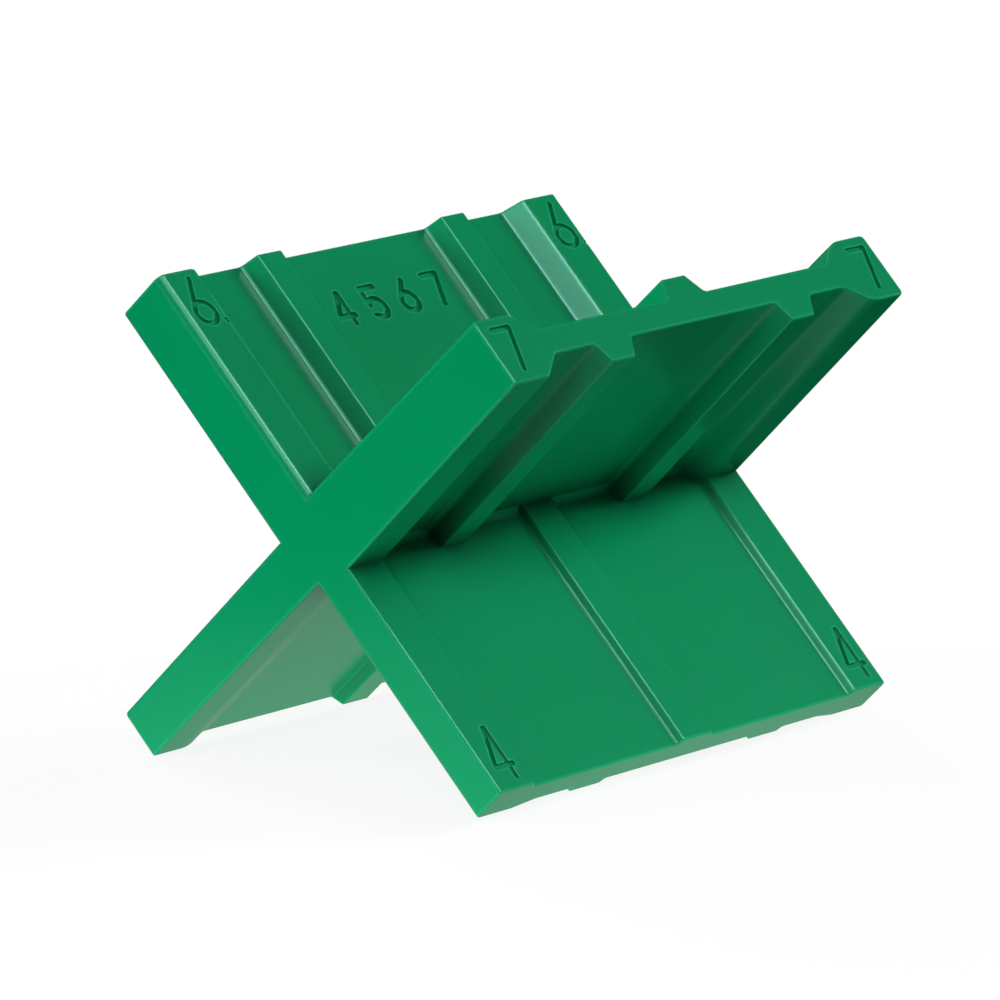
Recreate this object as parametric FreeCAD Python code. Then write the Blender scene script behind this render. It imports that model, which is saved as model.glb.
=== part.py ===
"""Four-way joint spacer: one moulded piece whose four arms are gauges of four thicknesses.

Seen along its depth the spacer is an X. Each arm is a plate as thick as the gap that it sets, and is
lightened between its two end blocks down to a thin web that carries ribs of the full thickness.
The depth runs along Y. The origin is the middle of the footprint, on the surface the spacer stands on.
"""
import FreeCAD
import Part

import math
import os

from FreeCAD import Vector

# Gauge thickness of each arm, measured at its tip
GAUGE_4 = 4.0
GAUGE_5 = 5.0
GAUGE_6 = 6.0
GAUGE_7 = 7.0

# Overall sizes: from the crossing's centre line to an arm's tip face, and along the depth
ARM_REACH = 29.0
DEPTH = 58.0

# Where the arms point, in degrees above the X axis: the first one, and the turn to the next
FIRST_ARM_ANGLE = 45.0
ARM_TURN = 90.0

# Draft of each side of an arm, in degrees: the 7 and 5 arms lie along the mould's opening direction
DRAFT_4 = 0.0
DRAFT_5 = 0.6
DRAFT_6 = 0.0
DRAFT_7 = 0.75

# Thin web between the end blocks
WEB = 2.8
WEB_CROTCH_ROUND = 1.2

# End blocks: the length that has the full gauge, and the run of the ramp down to the web
BLOCK_LENGTH = 4.9
RAMP_RUN_4_ONE_RIB = 0.5
RAMP_RUN_4_TWO_RIBS = 3.0
RAMP_RUN_5 = 2.6
RAMP_RUN_6 = 1.9
RAMP_RUN_7 = 2.6

# Ribs: one in the middle on one side of each arm, and on the other side one near each end
RIB_FROM_END = 15.6
RIB_CREST_4 = 4.3
RIB_CREST_5 = 3.6
RIB_CREST_6 = 3.3
RIB_CREST_7 = 3.4

# How far a rib's near and far flanks lean from upright, in degrees
NEAR_LEAN_4 = 35.0
NEAR_LEAN_5 = 34.0
NEAR_LEAN_6 = 34.0
NEAR_LEAN_7 = 20.0
FAR_LEAN = 30.0

# Rounding of the near and far edges: the near ones are crisp on some sides, and soft beside the dotted 6
FACE_ROUND = 0.5
CRISP_ROUND = 0.22
NEAR_ROUND_6 = 0.9

# Rounding of the end blocks' crests beside the ramps, where the 7 arm's near and far block differ, and the
# least rounding at a ramp's foot, as a share of its crest's
BLOCK_ROUND_4 = 0.5
BLOCK_ROUND_5 = 5.5
BLOCK_ROUND_6 = 1.6
NEAR_BLOCK_ROUND_7 = 0.5
FAR_BLOCK_ROUND_7 = 3.2
FOOT_ROUND_SHARE = 0.7

# Rounding of the ribs' crests and of the tip faces' edges
CREST_ROUND = 0.22
TIP_ROUND = 0.2

# Concave rounding at the foot of a rib or ramp, as a share of its height above the web
ROOT_ROUND_SHARE = 0.35

# Gauge numbers sunk into both end blocks near the tips
NUMBER_DEPTH = 0.25
NUMBER_STROKE = 0.52
NUMBER_WIDTH = 2.95
NUMBER_HEIGHT_4 = 5.9
NUMBER_HEIGHT_5 = 3.6
NUMBER_HEIGHT_6 = 5.5
NUMBER_HEIGHT_7 = 4.9
NUMBER_FROM_NEAR_END = 2.7
NUMBER_FROM_FAR_END = 2.4
NUMBER_TIP_GAP_4 = 0.95
NUMBER_TIP_GAP_6 = 0.8
DOT_DIAMETER = 0.62
DOT_GAP = 0.25

# Row of plain numbers sunk into the web of the 6 arm
ROW_DEPTH = 0.3
ROW_STROKE = 0.62
ROW_HEIGHT = 4.0
ROW_WIDTH = 2.7
ROW_PITCH = 4.6
ROW_TIP_GAP = 4.6

# Drawing of the numbers, as shares of the width and height of a stroke's centre line
FOUR_STEM = 0.72
FOUR_APEX = 0.65
FOUR_BAR = 0.25
FIVE_STEM = 0.08
FIVE_BOWL_START = 1.5
SIX_STEM_TOP = 0.78
SIX_STEM_FOOT = 0.06
SIX_STEM_MEETS = 1.35
SEVEN_FOOT = 0.35

# Joining and cutting: how far an arm starts past the crossing's centre and how far its two sides overlap, as
# shares of the web's thickness, and how far a cutter stands out of the face that it sinks into
ARM_OVERLAP_SHARE = 0.25
SIDE_OVERLAP_SHARE = 0.25
CUTTER_RISE = 0.5

# A rounding uses at most this share of each side of its corner, and a flatter corner than this is left alone
LONGEST_TANGENT_SHARE = 0.45
FLATTEST_HALF_ANGLE = 89.0

# Two edges count as lying in one plane within this distance
SAME_PLANE = 0.001

RIGHT = Vector(1, 0, 0)
DEPTHWARD = Vector(0, 1, 0)
UP = Vector(0, 0, 1)
CENTRE = Vector(0, 0, 0)


def corner_arc(before, corner, after, radius):
    """Return the start, middle and end of the arc that rounds a corner, or None where it is sharp."""
    back = before - corner
    ahead = after - corner
    half_angle = back.getAngle(ahead) / 2
    if radius <= 0 or half_angle > math.radians(FLATTEST_HALF_ANGLE):
        return None
    longest = LONGEST_TANGENT_SHARE * min(back.Length, ahead.Length)
    tangent = min(radius / math.tan(half_angle), longest)
    radius = tangent * math.tan(half_angle)
    start = corner + back * (tangent / back.Length)
    end = corner + ahead * (tangent / ahead.Length)
    inward = (start + end) * 0.5 - corner
    middle = corner + inward * ((radius / math.sin(half_angle) - radius) / inward.Length)
    return start, middle, end


def rounded_outline(corners):
    """Make a closed wire from (point, radius) corners, each rounded by its radius."""
    count = len(corners)
    edges = []
    pen = None
    first = None
    for index, (point, radius) in enumerate(corners):
        arc = corner_arc(corners[index - 1][0], point, corners[(index + 1) % count][0], radius)
        start, end = (arc[0], arc[2]) if arc else (point, point)
        if pen is None:
            first = start
        else:
            edges.append(Part.LineSegment(pen, start).toShape())
        if arc:
            edges.append(Part.Arc(*arc).toShape())
        pen = end
    edges.append(Part.LineSegment(pen, first).toShape())
    return Part.Wire(edges)


class Arm:
    """One gauge arm in its own frame: X runs out to the tip, Y along the depth, Z across the plate."""

    def __init__(self, place, gauge, draft, rib_crest, near_lean, ramp_runs, near_rounds, block_rounds):
        """Keep the sizes: ramps and near edges as (one-rib side, two-rib side), and blocks as (near, far)."""
        self.angle = FIRST_ARM_ANGLE + place * ARM_TURN
        self.gauge = gauge
        self.draft = math.tan(math.radians(draft))
        self.rib_crest = rib_crest
        self.near_lean = near_lean
        self.ramp_runs = ramp_runs
        self.near_rounds = near_rounds
        self.block_rounds = block_rounds

    def side_corners(self, ramp_run, near_round, rib_centres):
        """List the corners of one side's outline at the tip, in the plane of Y and thickness."""
        crest = self.gauge / 2
        floor = WEB / 2
        rise = crest - floor
        inner = -SIDE_OVERLAP_SHARE * WEB
        root = ROOT_ROUND_SHARE * rise
        near_run = rise * math.tan(math.radians(self.near_lean))
        far_run = rise * math.tan(math.radians(FAR_LEAN))
        near_crest, far_crest = self.block_rounds
        near_foot, far_foot = [max(root, FOOT_ROUND_SHARE * radius) for radius in self.block_rounds]
        points = [(0, inner, 0), (0, crest, near_round)]
        points.append((BLOCK_LENGTH, crest, near_crest))
        points.append((BLOCK_LENGTH + ramp_run, floor, near_foot))
        for centre in rib_centres:
            half = self.rib_crest / 2
            points.append((centre - half - near_run, floor, root))
            points.append((centre - half, crest, CREST_ROUND))
            points.append((centre + half, crest, CREST_ROUND))
            points.append((centre + half + far_run, floor, root))
        points.append((DEPTH - BLOCK_LENGTH - ramp_run, floor, far_foot))
        points.append((DEPTH - BLOCK_LENGTH, crest, far_crest))
        points += [(DEPTH, crest, FACE_ROUND), (DEPTH, inner, 0)]
        return points

    def side(self, direction, ramp_run, near_round, rib_centres):
        """Extrude one side of the plate from just past the crossing's centre out to the tip."""
        start = -ARM_OVERLAP_SHARE * WEB
        length = ARM_REACH - start
        rise = length * self.draft
        corners = [(Vector(start, y, direction * (t + rise)), radius)
                   for y, t, radius in self.side_corners(ramp_run, near_round, rib_centres)]
        outline = Part.Face(rounded_outline(corners))
        return outline.extrude(Vector(length, 0, -direction * rise))

    def solid(self):
        """Join both sides and round the edges of the tip face."""
        single = self.side(1, self.ramp_runs[0], self.near_rounds[0], [DEPTH / 2])
        paired = self.side(-1, self.ramp_runs[1], self.near_rounds[1], [RIB_FROM_END, DEPTH - RIB_FROM_END])
        plate = single.fuse(paired).removeSplitter()
        tip_edges = [edge for edge in plate.Edges if edge.BoundBox.XMin > ARM_REACH - SAME_PLANE]
        return plate.makeFillet(TIP_ROUND, tip_edges)

    def turned(self, shape):
        """Turn a shape from the arm's frame to its place in the X."""
        turned = shape.copy()
        turned.rotate(CENTRE, DEPTHWARD, -self.angle)
        return turned


ARM_7 = Arm(0, GAUGE_7, DRAFT_7, RIB_CREST_7, NEAR_LEAN_7, ramp_runs=(RAMP_RUN_7, RAMP_RUN_7),
            near_rounds=(FACE_ROUND, CRISP_ROUND), block_rounds=(NEAR_BLOCK_ROUND_7, FAR_BLOCK_ROUND_7))
ARM_6 = Arm(1, GAUGE_6, DRAFT_6, RIB_CREST_6, NEAR_LEAN_6, ramp_runs=(RAMP_RUN_6, RAMP_RUN_6),
            near_rounds=(FACE_ROUND, NEAR_ROUND_6), block_rounds=(BLOCK_ROUND_6, BLOCK_ROUND_6))
ARM_5 = Arm(2, GAUGE_5, DRAFT_5, RIB_CREST_5, NEAR_LEAN_5, ramp_runs=(RAMP_RUN_5, RAMP_RUN_5),
            near_rounds=(CRISP_ROUND, FACE_ROUND), block_rounds=(BLOCK_ROUND_5, BLOCK_ROUND_5))
ARM_4 = Arm(3, GAUGE_4, DRAFT_4, RIB_CREST_4, NEAR_LEAN_4,
            ramp_runs=(RAMP_RUN_4_ONE_RIB, RAMP_RUN_4_TWO_RIBS),
            near_rounds=(CRISP_ROUND, FACE_ROUND), block_rounds=(BLOCK_ROUND_4, BLOCK_ROUND_4))
ARMS = [ARM_7, ARM_6, ARM_5, ARM_4]


class Pen:
    """Makes cutters for a number's strokes, in a flat frame whose X runs to the right and Y up the number."""

    def __init__(self, width, height, stroke, depth):
        self.width = width
        self.height = height
        self.stroke = stroke
        self.depth = depth
        self.tall = depth + CUTTER_RISE
        self.bowl = (width - stroke) / 2
        self.bowl_share = self.bowl / (height - stroke)

    def point(self, across, up):
        """Place a point given as shares of the stroke's centre-line box."""
        x = (across - 0.5) * (self.width - self.stroke)
        y = (up - 0.5) * (self.height - self.stroke)
        return Vector(x, y, -self.depth)

    def cylinder(self, centre, radius):
        """Make an upright cylinder as tall as a cutter."""
        return Part.makeCylinder(radius, self.tall, centre)

    def line(self, places):
        """Join points by straight strokes with round ends."""
        spots = [self.point(*place) for place in places]
        shapes = [self.cylinder(spot, self.stroke / 2) for spot in spots]
        for begin, end in zip(spots, spots[1:]):
            along = end - begin
            bar = Part.makeBox(along.Length, self.stroke, self.tall, Vector(0, -self.stroke / 2, 0))
            bar.Placement = FreeCAD.Placement(begin, FreeCAD.Rotation(RIGHT, along))
            shapes.append(bar)
        return shapes

    def ring(self):
        """Draw the round bowl at the number's foot."""
        spot = self.point(0.5, self.bowl_share)
        outer = self.cylinder(spot, self.bowl + self.stroke / 2)
        inner = self.cylinder(spot, self.bowl - self.stroke / 2)
        return outer.cut(inner)

    def number_4(self):
        """Stem, slanted stroke and crossbar."""
        stem = self.line([(FOUR_STEM, 0), (FOUR_STEM, 1)])
        return stem + self.line([(FOUR_APEX, 1), (0, FOUR_BAR), (1, FOUR_BAR)])

    def number_5(self):
        """Flag, short stem and a bowl that is open to the left."""
        centre = self.point(0.5, self.bowl_share)
        corner = centre - Vector(self.width, self.bowl / 2, 0)
        opening = Part.makeBox(self.width, self.bowl, self.tall, corner)
        start_up = FIVE_BOWL_START * self.bowl_share
        return self.line([(1, 1), (FIVE_STEM, 1), (FIVE_STEM, start_up)]) + [self.ring().cut(opening)]

    def number_6(self):
        """Slanted stroke that runs into a round bowl."""
        foot = (SIX_STEM_FOOT, SIX_STEM_MEETS * self.bowl_share)
        return self.line([(SIX_STEM_TOP, 1), foot]) + [self.ring()]

    def number_7(self):
        """Bar and slanted stem."""
        return self.line([(0, 1), (1, 1), (SEVEN_FOOT, 0)])

    def dot(self):
        """Dot at the foot of the number, which tells a 6 from a 9."""
        radius = DOT_DIAMETER / 2
        x = self.width / 2 + DOT_GAP + radius
        y = radius - self.height / 2
        return self.cylinder(Vector(x, y, -self.depth), radius)


def placed(shapes, origin, right, up):
    """Carry flat-drawn shapes to a face, given the number's right and up directions there."""
    turn = FreeCAD.Rotation(right, up, right.cross(up), "ZXY")
    moved = []
    for shape in shapes:
        copy = shape.copy()
        copy.Placement = FreeCAD.Placement(origin, turn).multiply(shape.Placement)
        moved.append(copy)
    return moved


def number_pen(height):
    """Make the pen of a gauge number."""
    return Pen(NUMBER_WIDTH, height, NUMBER_STROKE, NUMBER_DEPTH)


def on_both_blocks(arm, shapes, out, across, right, up):
    """Carry a gauge number to both end blocks of an arm, `out` from the crossing and `across` the plate."""
    carried = []
    for depth in (NUMBER_FROM_NEAR_END, DEPTH - NUMBER_FROM_FAR_END):
        carried += placed(shapes, Vector(out, depth, across), right, up)
    return [arm.turned(shape) for shape in carried]


def numbers_beside_tips():
    """Draw the dotted 6 on the two-rib side and the 4 on the one-rib side, its foot towards the tip."""
    pen_6 = number_pen(NUMBER_HEIGHT_6)
    pen_4 = number_pen(NUMBER_HEIGHT_4)
    out_6 = ARM_REACH - NUMBER_TIP_GAP_6 - NUMBER_HEIGHT_6 / 2
    out_4 = ARM_REACH - NUMBER_TIP_GAP_4 - NUMBER_HEIGHT_4 / 2
    dotted_6 = pen_6.number_6() + [pen_6.dot()]
    sixes = on_both_blocks(ARM_6, dotted_6, out_6, -GAUGE_6 / 2, DEPTHWARD, RIGHT)
    fours = on_both_blocks(ARM_4, pen_4.number_4(), out_4, GAUGE_4 / 2, DEPTHWARD, -RIGHT)
    return sixes + fours


def numbers_on_tips():
    """Draw the 7 and the 5 on their arms' tip faces."""
    seven = number_pen(NUMBER_HEIGHT_7).number_7()
    five = number_pen(NUMBER_HEIGHT_5).number_5()
    sevens = on_both_blocks(ARM_7, seven, ARM_REACH, 0, DEPTHWARD, UP)
    fives = on_both_blocks(ARM_5, five, ARM_REACH, 0, -DEPTHWARD, -UP)
    return sevens + fives


def number_row():
    """Draw a row of the four plain numbers on the web of the 6 arm, between its two ribs."""
    pen = Pen(ROW_WIDTH, ROW_HEIGHT, ROW_STROKE, ROW_DEPTH)
    glyphs = [pen.number_4(), pen.number_5(), pen.number_6(), pen.number_7()]
    out = ARM_REACH - ROW_TIP_GAP - ROW_HEIGHT / 2
    shapes = []
    for index, glyph in enumerate(glyphs):
        depth = DEPTH / 2 + (index - (len(glyphs) - 1) / 2) * ROW_PITCH
        shapes += placed(glyph, Vector(out, depth, -WEB / 2), DEPTHWARD, RIGHT)
    return [ARM_6.turned(shape) for shape in shapes]


def web_crotches():
    """Fill the four corners between the webs with a concave rounding."""
    half = WEB / 2
    centre = half + WEB_CROTCH_ROUND
    root = half / 2
    inset = BLOCK_LENGTH / 2
    corners = []
    for arm in ARMS:
        block = Part.makeBox(centre - root, DEPTH - 2 * inset, centre - root, Vector(root, inset, root))
        scoop = Part.makeCylinder(WEB_CROTCH_ROUND, DEPTH, Vector(centre, 0, centre), DEPTHWARD)
        corners.append(arm.turned(block.cut(scoop)))
    return corners


def spacer():
    """Join the arms and the roundings of the crossing into one solid, and sink the numbers into it."""
    arms = [arm.turned(arm.solid()) for arm in ARMS]
    body = arms[0].multiFuse(arms[1:] + web_crotches()).removeSplitter()
    return body.cut(numbers_beside_tips() + numbers_on_tips() + number_row()).removeSplitter()


def stood_up(shape):
    """Move the spacer so that the middle of its footprint is the origin."""
    box = shape.optimalBoundingBox(False, False)
    shift = Vector(-box.Center.x, -box.Center.y, -box.ZMin)
    print("crossing at x", round(shift.x, 4), "z", round(shift.z, 4))
    shape.translate(shift)
    return shape


os.makedirs("parts", exist_ok=True)
piece = stood_up(spacer())
piece = piece.Solids[0] if len(piece.Solids) == 1 else piece
piece.exportStep("parts/spacer.step")
print("solids", len(piece.Solids), "valid", piece.isValid())
print("volume", round(piece.Volume, 1), "mm3")
print("box", piece.optimalBoundingBox(False, False))
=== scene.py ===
"""Dresses the joint spacer as glossy green moulded plastic on a plain white table.

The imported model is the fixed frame. Lengths here are in millimetres where a name ends in _mm, else in metres.
"""
from __future__ import annotations

import logging
import math
from dataclasses import dataclass, field
from enum import Enum

import bpy
from mathutils import Matrix, Vector

LOG = logging.getLogger("spacer_scene")
MM = 0.001
CROSSING_HEIGHT_MM = 22.2
LAMP_TARGET_HEIGHT = 0.02
ROUNDING_SAMPLES = 4
CORNER_SAMPLES = 5

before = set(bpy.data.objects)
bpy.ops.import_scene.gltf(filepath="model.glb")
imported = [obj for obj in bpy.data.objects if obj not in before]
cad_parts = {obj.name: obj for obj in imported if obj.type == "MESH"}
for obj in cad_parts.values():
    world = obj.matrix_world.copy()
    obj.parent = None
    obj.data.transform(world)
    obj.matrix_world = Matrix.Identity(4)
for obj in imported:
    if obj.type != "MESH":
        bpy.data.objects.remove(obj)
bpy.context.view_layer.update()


class Slot(Enum):
    """The record's material slots."""

    PLASTIC = "green_plastic"


@dataclass(frozen=True)
class Tone:
    """A colour given in linear light."""

    red: float
    green: float
    blue: float

    def rgba(self) -> tuple[float, float, float, float]:
        """Return the colour with full opacity."""
        return (self.red, self.green, self.blue, 1.0)


class NodeSheet:
    """Adds and joins the nodes of one node tree."""

    def __init__(self, tree: bpy.types.NodeTree) -> None:
        """Keep the tree to draw in.

        Args:
            tree: The node tree of a material, group or world.
        """
        self.tree = tree

    def add(self, kind: str, **settings: object) -> bpy.types.Node:
        """Add a node.

        Args:
            kind: The node's type name.
            settings: Attributes to set on it.

        Returns:
            The new node.
        """
        node = self.tree.nodes.new(kind)
        for name, value in settings.items():
            setattr(node, name, value)
        return node

    def join(self, source: bpy.types.NodeSocket, target: bpy.types.NodeSocket) -> None:
        """Link an output socket to an input socket."""
        self.tree.links.new(source, target)

    def math(self, operation: str, first: object, second: object) -> bpy.types.NodeSocket:
        """Add a Math node.

        Args:
            operation: Its operation.
            first: A socket or a number.
            second: A socket or a number.

        Returns:
            Its output.
        """
        node = self.add("ShaderNodeMath", operation=operation)
        for socket, value in zip(node.inputs, (first, second)):
            if isinstance(value, bpy.types.NodeSocket):
                self.join(value, socket)
            else:
                socket.default_value = value
        return node.outputs[0]

    def blend(self, share: bpy.types.NodeSocket, first: object, second: object) -> bpy.types.NodeSocket:
        """Add a colour mix.

        Args:
            share: How much of the second colour shows.
            first: A socket or a colour.
            second: A socket or a colour.

        Returns:
            The mixed colour.
        """
        node = self.add("ShaderNodeMix", data_type="RGBA")
        self.join(share, node.inputs["Factor"])
        for socket, value in zip((node.inputs[6], node.inputs[7]), (first, second)):
            if isinstance(value, bpy.types.NodeSocket):
                self.join(value, socket)
            else:
                socket.default_value = value
        return node.outputs[2]


class GroupSheet(NodeSheet):
    """The sheet of a shader node group with named inputs and outputs."""

    def __init__(self, name: str, inputs: dict[str, float], outputs: dict[str, str]) -> None:
        """Make the group and its sockets.

        Args:
            name: The group's name.
            inputs: Name and first value of each number that goes in.
            outputs: Name and socket type of each thing that comes out.
        """
        super().__init__(bpy.data.node_groups.new(name, "ShaderNodeTree"))
        for label, value in inputs.items():
            socket = self.tree.interface.new_socket(label, in_out="INPUT", socket_type="NodeSocketFloat")
            socket.default_value = value
        for label, kind in outputs.items():
            self.tree.interface.new_socket(label, in_out="OUTPUT", socket_type=kind)
        self.given = self.add("NodeGroupInput").outputs
        self.result = self.add("NodeGroupOutput").inputs

    def noise(self, size: bpy.types.NodeSocket, detail: float) -> bpy.types.NodeSocket:
        """Add noise whose grains have the given size in millimetres.

        Args:
            size: The socket that holds the size.
            detail: How many finer layers it has.

        Returns:
            The noise, from 0 to 1.
        """
        place = self.add("ShaderNodeTexCoord")
        node = self.add("ShaderNodeTexNoise")
        node.inputs["Detail"].default_value = detail
        self.join(place.outputs["Object"], node.inputs["Vector"])
        self.join(self.math("DIVIDE", 1 / MM, size), node.inputs["Scale"])
        return node.outputs["Fac"]

    def bump(
        self, height: bpy.types.NodeSocket, depth: bpy.types.NodeSocket, normal: bpy.types.NodeSocket
    ) -> bpy.types.NodeSocket:
        """Add a bump of the given depth in millimetres.

        Args:
            height: The height's socket, from 0 to 1.
            depth: The socket that holds the depth.
            normal: The normal's socket that it adds to.

        Returns:
            The bumped normal.
        """
        node = self.add("ShaderNodeBump")
        node.inputs["Strength"].default_value = 1.0
        self.join(height, node.inputs["Height"])
        self.join(self.math("MULTIPLY", depth, MM), node.inputs["Distance"])
        self.join(normal, node.inputs["Normal"])
        return node.outputs["Normal"]


def moulded_skin() -> bpy.types.NodeTree:
    """Make the group of a moulded surface: softened sharp edges, shallow sink waves and a fine grain.

    Returns:
        The group, which puts out a normal, a roughness and a mask of the outer edges, where a highlight is
        painted.
    """
    inputs = {
        "Edge Radius": 0.12,
        "Edge Sheen Radius": 0.45,
        "Edge Sheen Gain": 6.0,
        "Wave Size": 7.0,
        "Wave Depth": 0.006,
        "Grain Size": 0.3,
        "Grain Depth": 0.0008,
        "Smoothest": 0.19,
        "Roughest": 0.24,
    }
    outputs = {"Normal": "NodeSocketVector", "Roughness": "NodeSocketFloat", "Edge Sheen": "NodeSocketFloat"}
    sheet = GroupSheet("moulded_skin", inputs, outputs)
    given = sheet.given
    soft = sheet.add("ShaderNodeBevel", samples=ROUNDING_SAMPLES)
    sheet.join(sheet.math("MULTIPLY", given["Edge Radius"], MM), soft.inputs["Radius"])
    waves = sheet.noise(given["Wave Size"], 0.0)
    grain = sheet.noise(given["Grain Size"], 2.0)
    wavy = sheet.bump(waves, given["Wave Depth"], soft.outputs["Normal"])
    sheet.join(sheet.bump(grain, given["Grain Depth"], wavy), sheet.result["Normal"])
    dull = sheet.add("ShaderNodeMapRange")
    sheet.join(grain, dull.inputs["Value"])
    sheet.join(given["Smoothest"], dull.inputs["To Min"])
    sheet.join(given["Roughest"], dull.inputs["To Max"])
    sheet.join(dull.outputs["Result"], sheet.result["Roughness"])
    place = sheet.add("ShaderNodeNewGeometry")
    match = sheet.add("ShaderNodeVectorMath", operation="DOT_PRODUCT")
    # A wider rounding finds the outer edges, where a paler green is painted as a highlight.
    edge_sheen = sheet.add("ShaderNodeBevel", samples=ROUNDING_SAMPLES)
    sheet.join(sheet.math("MULTIPLY", given["Edge Sheen Radius"], MM), edge_sheen.inputs["Radius"])
    sheet.join(edge_sheen.outputs["Normal"], match.inputs[0])
    sheet.join(place.outputs["Normal"], match.inputs[1])
    turned = sheet.math("SUBTRACT", 1.0, match.outputs["Value"])
    strong = sheet.math("MULTIPLY", turned, given["Edge Sheen Gain"])
    sheet.join(sheet.math("MINIMUM", strong, 1.0), sheet.result["Edge Sheen"])
    return sheet.tree


def corner_shade_masks() -> bpy.types.NodeTree:
    """Make the group that finds the deep corners where the arms cross, and the surfaces that nothing shades.

    Returns:
        The group, which puts out two masks from 0 to 1: Painted Shade, where shade is painted, and Open.
    """
    inputs = {
        "Reach": 6.0,
        "Start": 0.84,
        "Full": 0.46,
        "Core": 9.0,
        "Core End": 17.0,
        "Open Start": 0.84,
        "Open Full": 0.96,
    }
    sheet = GroupSheet("corner_shade_masks", inputs, {"Painted Shade": "NodeSocketFloat", "Open": "NodeSocketFloat"})
    given = sheet.given
    open_sky = sheet.add("ShaderNodeAmbientOcclusion", samples=CORNER_SAMPLES, only_local=True)
    sheet.join(sheet.math("MULTIPLY", given["Reach"], MM), open_sky.inputs["Distance"])
    depth = sheet.add("ShaderNodeMapRange", interpolation_type="SMOOTHSTEP")
    sheet.join(open_sky.outputs["AO"], depth.inputs["Value"])
    sheet.join(given["Start"], depth.inputs["From Min"])
    sheet.join(given["Full"], depth.inputs["From Max"])
    place = sheet.add("ShaderNodeTexCoord")
    across = sheet.add("ShaderNodeMapping")
    across.inputs["Location"].default_value = (0, 0, -CROSSING_HEIGHT_MM)
    across.inputs["Scale"].default_value = (1 / MM, 0, 1 / MM)
    far = sheet.add("ShaderNodeVectorMath", operation="LENGTH")
    core = sheet.add("ShaderNodeMapRange", interpolation_type="SMOOTHSTEP")
    core.inputs["To Min"].default_value = 1.0
    core.inputs["To Max"].default_value = 0.0
    sheet.join(place.outputs["Object"], across.inputs["Vector"])
    sheet.join(across.outputs["Vector"], far.inputs[0])
    sheet.join(far.outputs["Value"], core.inputs["Value"])
    sheet.join(given["Core"], core.inputs["From Min"])
    sheet.join(given["Core End"], core.inputs["From Max"])
    # Open: where nothing shades, so that the painted edge highlight stays off the shaded corners.
    free = sheet.add("ShaderNodeMapRange")
    sheet.join(given["Open Start"], free.inputs["From Min"])
    sheet.join(given["Open Full"], free.inputs["From Max"])
    sheet.join(open_sky.outputs["AO"], free.inputs["Value"])
    sheet.join(free.outputs["Result"], sheet.result["Open"])
    # The deep corners near the crossing, where the colour is darkened as painted shade.
    both = sheet.math("MULTIPLY", depth.outputs["Result"], core.outputs["Result"])
    sheet.join(both, sheet.result["Painted Shade"])
    return sheet.tree


@dataclass(frozen=True)
class GlossPlastic:
    """Smooth glossy moulded plastic."""

    name: str = "green_gloss_plastic"
    colour: Tone = Tone(0.0005, 0.25, 0.093)
    cloudy: Tone = Tone(0.0005, 0.235, 0.085)
    # Near-black green painted into the deep corners where the arms cross: painted shade.
    painted_shade: Tone = Tone(0.0, 0.012, 0.005)
    # A paler green painted along the outer edges: painted highlight.
    edge_sheen: Tone = Tone(0.02, 0.45, 0.2)
    edge_sheen_share: float = 0.8
    painted_shade_share: float = 0.92
    cloud_size: float = 9.0
    sheen_tint: Tone = Tone(0.45, 1.0, 0.95)
    specular: float = 0.5

    def build(self) -> bpy.types.Material:
        """Make the material.

        Returns:
            The material.
        """
        material = bpy.data.materials.new(self.name)
        material.use_nodes = True
        sheet = NodeSheet(material.node_tree)
        sheet.tree.nodes.clear()
        out = sheet.add("ShaderNodeOutputMaterial")
        shader = sheet.add("ShaderNodeBsdfPrincipled")
        shader.inputs["Specular IOR Level"].default_value = self.specular
        shader.inputs["Specular Tint"].default_value = self.sheen_tint.rgba()
        skin = sheet.add("ShaderNodeGroup", node_tree=moulded_skin())
        corners = sheet.add("ShaderNodeGroup", node_tree=corner_shade_masks())
        # Painted highlight along the outer edges, kept to the surfaces that nothing shades.
        edge_sheen = sheet.math("MULTIPLY", skin.outputs["Edge Sheen"], corners.outputs["Open"])
        colour = self.coloured(sheet, edge_sheen, corners.outputs["Painted Shade"])
        sheet.join(colour, shader.inputs["Base Color"])
        sheet.join(skin.outputs["Normal"], shader.inputs["Normal"])
        sheet.join(skin.outputs["Roughness"], shader.inputs["Roughness"])
        sheet.join(shader.outputs[0], out.inputs["Surface"])
        return material

    def coloured(
        self, sheet: NodeSheet, edge_sheen: bpy.types.NodeSocket, painted_shade: bpy.types.NodeSocket
    ) -> bpy.types.NodeSocket:
        """Mix the colour: faintly cloudy, a painted highlight on outer edges, painted shade in deep corners.

        Args:
            sheet: The material's sheet.
            edge_sheen: The mask of the outer edges, where a highlight is painted into the colour.
            painted_shade: The mask of the deep corners, where shade is painted into the colour.

        Returns:
            The colour.
        """
        place = sheet.add("ShaderNodeTexCoord")
        cloud = sheet.add("ShaderNodeTexNoise")
        cloud.inputs["Scale"].default_value = 1 / (self.cloud_size * MM)
        sheet.join(place.outputs["Object"], cloud.inputs["Vector"])
        body = sheet.blend(cloud.outputs["Fac"], self.colour.rgba(), self.cloudy.rgba())
        # Painted highlight: a paler green along the outer edges.
        sheened = sheet.blend(sheet.math("MULTIPLY", edge_sheen, self.edge_sheen_share), body, self.edge_sheen.rgba())
        # Painted shade: a near-black green in the deep corners where the arms cross.
        return sheet.blend(sheet.math("MULTIPLY", painted_shade, self.painted_shade_share), sheened, self.painted_shade.rgba())


@dataclass
class Spacer:
    """The moulded spacer itself, shown by its CAD node."""

    node: str = "spacer"
    finish: GlossPlastic = field(default_factory=GlossPlastic)

    def build(self) -> bpy.types.Object:
        """Give the CAD node its finish.

        Returns:
            The CAD node's object.
        """
        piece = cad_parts[self.node]
        piece.data.materials.clear()
        piece.data.materials.append(self.finish.build())
        return piece


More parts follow.
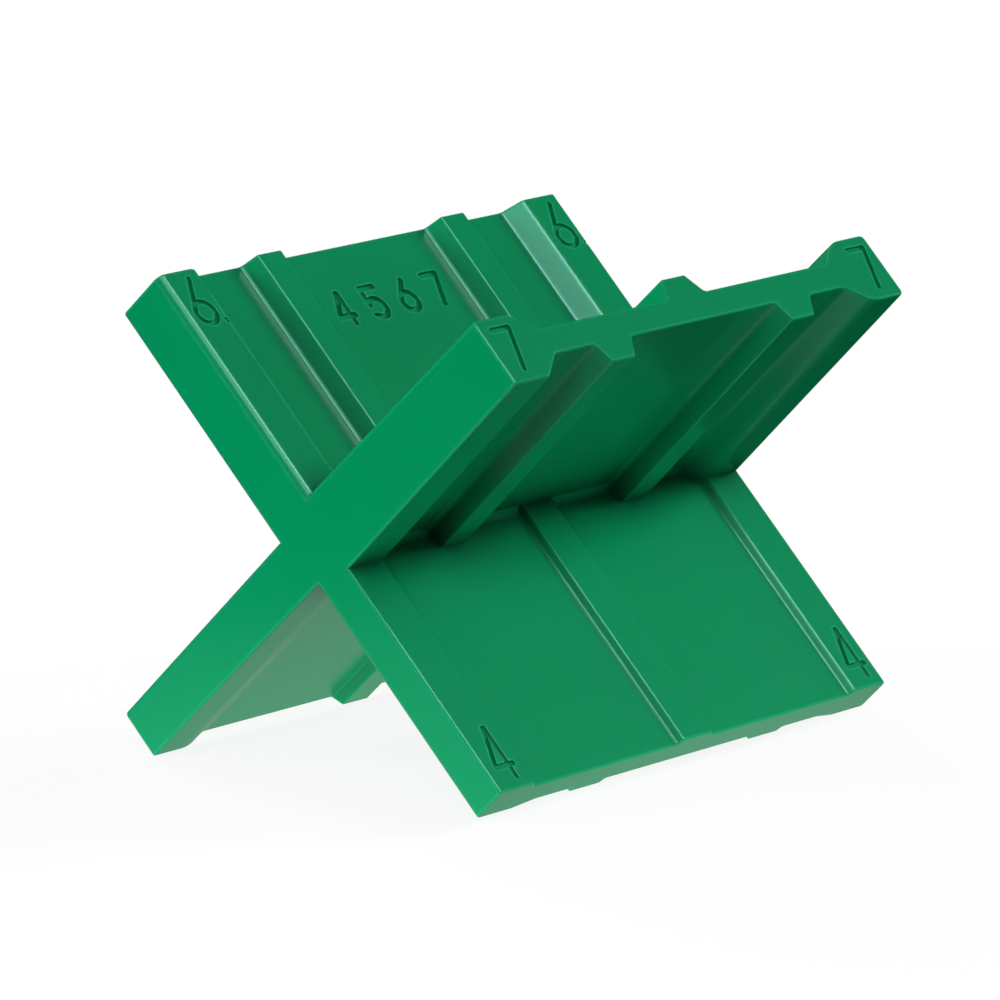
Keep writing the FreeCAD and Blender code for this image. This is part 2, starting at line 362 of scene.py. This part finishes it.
@dataclass(frozen=True)
class Fade:
    """A brightness of the table that fades with the distance from a point."""

    near: float
    far: float
    start: float
    end: float
    middle: tuple[float, float, float] = (0.0, 0.0, 0.0)

    def strength(self, sheet: NodeSheet) -> bpy.types.NodeSocket:
        """Work out the brightness at each place of the table.

        Args:
            sheet: The table material's sheet.

        Returns:
            The strength.
        """
        place = sheet.add("ShaderNodeNewGeometry")
        distance = sheet.add("ShaderNodeVectorMath", operation="DISTANCE")
        distance.inputs[1].default_value = self.middle
        fade = sheet.add("ShaderNodeMapRange", interpolation_type="SMOOTHSTEP")
        fade.inputs["From Min"].default_value = self.start
        fade.inputs["From Max"].default_value = self.end
        fade.inputs["To Min"].default_value = self.near
        fade.inputs["To Max"].default_value = self.far
        sheet.join(place.outputs["Position"], distance.inputs[0])
        sheet.join(distance.outputs["Value"], fade.inputs["Value"])
        return fade.outputs["Result"]


@dataclass(frozen=True)
class Table:
    """Plain white table that the spacer stands on."""

    half_width: float = 3.0
    albedo: float = 0.95
    shown_white: float = 0.88
    bounce: Fade = Fade(near=1.4, far=0.03, start=0.022, end=0.08)
    mirrored: Fade = Fade(near=0.4, far=0.0, start=0.062, end=0.076, middle=(0.008, -0.032, 0.0))

    def finish(self) -> bpy.types.Material:
        """Make the table's finish: near white with a faint shadow to the camera.

        What it throws back on the spacer and shows in its gloss are set apart, and fade with distance.

        Returns:
            The material.
        """
        material = bpy.data.materials.new("white_table")
        material.use_nodes = True
        sheet = NodeSheet(material.node_tree)
        sheet.tree.nodes.clear()
        out = sheet.add("ShaderNodeOutputMaterial")
        path = sheet.add("ShaderNodeLightPath")
        diffuse = sheet.add("ShaderNodeBsdfDiffuse")
        diffuse.inputs["Color"].default_value = (self.albedo, self.albedo, self.albedo, 1)
        white = sheet.add("ShaderNodeEmission")
        bounce = sheet.add("ShaderNodeEmission")
        sheet.join(self.bounce.strength(sheet), bounce.inputs["Strength"])
        gleam = sheet.add("ShaderNodeEmission")
        sheet.join(self.mirrored.strength(sheet), gleam.inputs["Strength"])
        shown = sheet.add("ShaderNodeMixShader")
        shown.inputs["Fac"].default_value = self.shown_white
        sheet.join(diffuse.outputs[0], shown.inputs[1])
        sheet.join(white.outputs[0], shown.inputs[2])
        unseen = sheet.add("ShaderNodeMixShader")
        sheet.join(path.outputs["Is Glossy Ray"], unseen.inputs["Fac"])
        sheet.join(bounce.outputs[0], unseen.inputs[1])
        sheet.join(gleam.outputs[0], unseen.inputs[2])
        mix = sheet.add("ShaderNodeMixShader")
        sheet.join(path.outputs["Is Camera Ray"], mix.inputs["Fac"])
        sheet.join(unseen.outputs[0], mix.inputs[1])
        sheet.join(shown.outputs[0], mix.inputs[2])
        sheet.join(mix.outputs[0], out.inputs["Surface"])
        return material

    def build(self) -> bpy.types.Object:
        """Lay the table under the spacer.

        Returns:
            The table's object.
        """
        size = self.half_width
        mesh = bpy.data.meshes.new("table_top")
        corners = [(-size, -size, 0), (size, -size, 0), (size, size, 0), (-size, size, 0)]
        mesh.from_pydata(corners, [], [(0, 1, 2, 3)])
        table = bpy.data.objects.new("table_top", mesh)
        bpy.context.scene.collection.objects.link(table)
        mesh.materials.append(self.finish())
        return table


@dataclass(frozen=True)
class Lamp:
    """A round soft lamp that points at the spacer, with its light and its gleam in the gloss set apart."""

    name: str
    azimuth: float
    elevation: float
    watts: float = 0.0
    gleam_watts: float = 0.0
    distance: float = 1.3
    width: float = 0.435

    def hang(self, name: str, watts: float, target: Vector) -> bpy.types.Object:
        """Hang one light.

        Args:
            name: The light's name.
            watts: Its power.
            target: The point that it faces.

        Returns:
            The light's object.
        """
        data = bpy.data.lights.new(name, "AREA")
        data.shape = "DISK"
        data.size = self.width
        data.energy = watts
        light = bpy.data.objects.new(name, data)
        bpy.context.scene.collection.objects.link(light)
        across = math.radians(self.azimuth)
        up = math.radians(self.elevation)
        back = Vector((math.sin(across) * math.cos(up), -math.cos(across) * math.cos(up), math.sin(up)))
        light.location = target + back * self.distance
        light.rotation_euler = (-back).to_track_quat("-Z", "Y").to_euler()
        return light

    def build(self, target: Vector) -> None:
        """Hang the lamp: what it lights and what it shows in the gloss.

        Args:
            target: The point that it faces.
        """
        if self.watts:
            self.hang(self.name, self.watts, target).visible_glossy = False
        if self.gleam_watts:
            gleam = self.hang(self.name + "_gleam", self.gleam_watts, target)
            gleam.visible_diffuse = False


@dataclass(frozen=True)
class Room:
    """The pale room around the table."""

    shown: float = 1.0
    light: float = 0.02
    gleam: float = 0.03

    def build(self) -> None:
        """Make the world: white to the camera, and dim to the plastic, which the lamps light."""
        world = bpy.data.worlds.new("pale_room")
        bpy.context.scene.world = world
        world.use_nodes = True
        sheet = NodeSheet(world.node_tree)
        sheet.tree.nodes.clear()
        out = sheet.add("ShaderNodeOutputWorld")
        path = sheet.add("ShaderNodeLightPath")
        seen = self.background(sheet, self.shown)
        soft = self.background(sheet, self.light)
        gleam = self.background(sheet, self.gleam)
        inner = sheet.add("ShaderNodeMixShader")
        outer = sheet.add("ShaderNodeMixShader")
        sheet.join(path.outputs["Is Glossy Ray"], inner.inputs["Fac"])
        sheet.join(soft, inner.inputs[1])
        sheet.join(gleam, inner.inputs[2])
        sheet.join(path.outputs["Is Camera Ray"], outer.inputs["Fac"])
        sheet.join(inner.outputs[0], outer.inputs[1])
        sheet.join(seen, outer.inputs[2])
        sheet.join(outer.outputs[0], out.inputs["Surface"])

    @staticmethod
    def background(sheet: NodeSheet, strength: float) -> bpy.types.NodeSocket:
        """Add a white background.

        Args:
            sheet: The world's sheet.
            strength: How bright it is.

        Returns:
            Its output.
        """
        node = sheet.add("ShaderNodeBackground")
        node.inputs["Color"].default_value = (1, 1, 1, 1)
        node.inputs["Strength"].default_value = strength
        return node.outputs[0]


@dataclass(frozen=True)
class Viewpoint:
    """The photograph's camera, in the frame's millimetres."""

    place_mm: tuple[float, float, float] = (487.042, -617.377, 188.479)
    forward: tuple[float, float, float] = (-0.60729, 0.76701, -0.20711)
    up: tuple[float, float, float] = (-0.13814, 0.15477, 0.97824)
    lens_mm: float = 313.7
    sensor_mm: float = 36.0

    def build(self) -> bpy.types.Object:
        """Set the camera up and make it the scene's.

        Returns:
            The camera's object.
        """
        data = bpy.data.cameras.new("photo_view")
        data.lens = self.lens_mm
        data.sensor_width = self.sensor_mm
        data.clip_start = 0.01
        data.clip_end = 20.0
        camera = bpy.data.objects.new("photo_view", data)
        bpy.context.scene.collection.objects.link(camera)
        back = -Vector(self.forward).normalized()
        right = Vector(self.up).cross(back).normalized()
        up = back.cross(right)
        turn = Matrix((right, up, back)).transposed().to_4x4()
        camera.matrix_world = Matrix.Translation(Vector(self.place_mm) * MM) @ turn
        bpy.context.scene.camera = camera
        return camera


def main() -> None:
    """Build the scene, piece by piece."""
    logging.basicConfig(level=logging.INFO, format="%(name)s: %(message)s")
    bpy.context.scene.view_settings.view_transform = "Standard"
    target = Vector((0, 0, LAMP_TARGET_HEIGHT))
    lamps = [
        Lamp("back_lamp", 160, 22, 13.6, 0.8),
        Lamp("right_lamp", 36, 40, 4.3, 5.6),
        Lamp("front_lamp", 0, 4, 5.5),
        Lamp("front_left_lamp", -20, 4, 4.5),
        Lamp("left_lamp", -40, 22, 8.0),
        Lamp("front_right_lamp", 20, 22, 1.3),
        Lamp("back_right_lamp", 132, 40, 3.1, 5.0),
        Lamp("low_back_lamp", 180, 4, 7.0),
        Lamp("left_back_lamp", -110, 34, 6.0, 4.0),
        Lamp("high_right_lamp", 36, 58, 0.0, 2.0),
        Lamp("high_side_lamp", 72, 58, 0.0, 2.5),
        Lamp("high_back_lamp", 108, 58, 0.0, 6.0),
        Lamp("low_right_lamp", 100, 4, 3.0),
    ]
    Viewpoint().build()
    Room().build()
    for lamp in lamps:
        lamp.build(target)
        LOG.info("lamp %s", lamp.name)
    LOG.info("stage %s", Table().build().name)
    LOG.info("piece %s", Spacer().build().name)


if __name__ == "__main__":
    main()
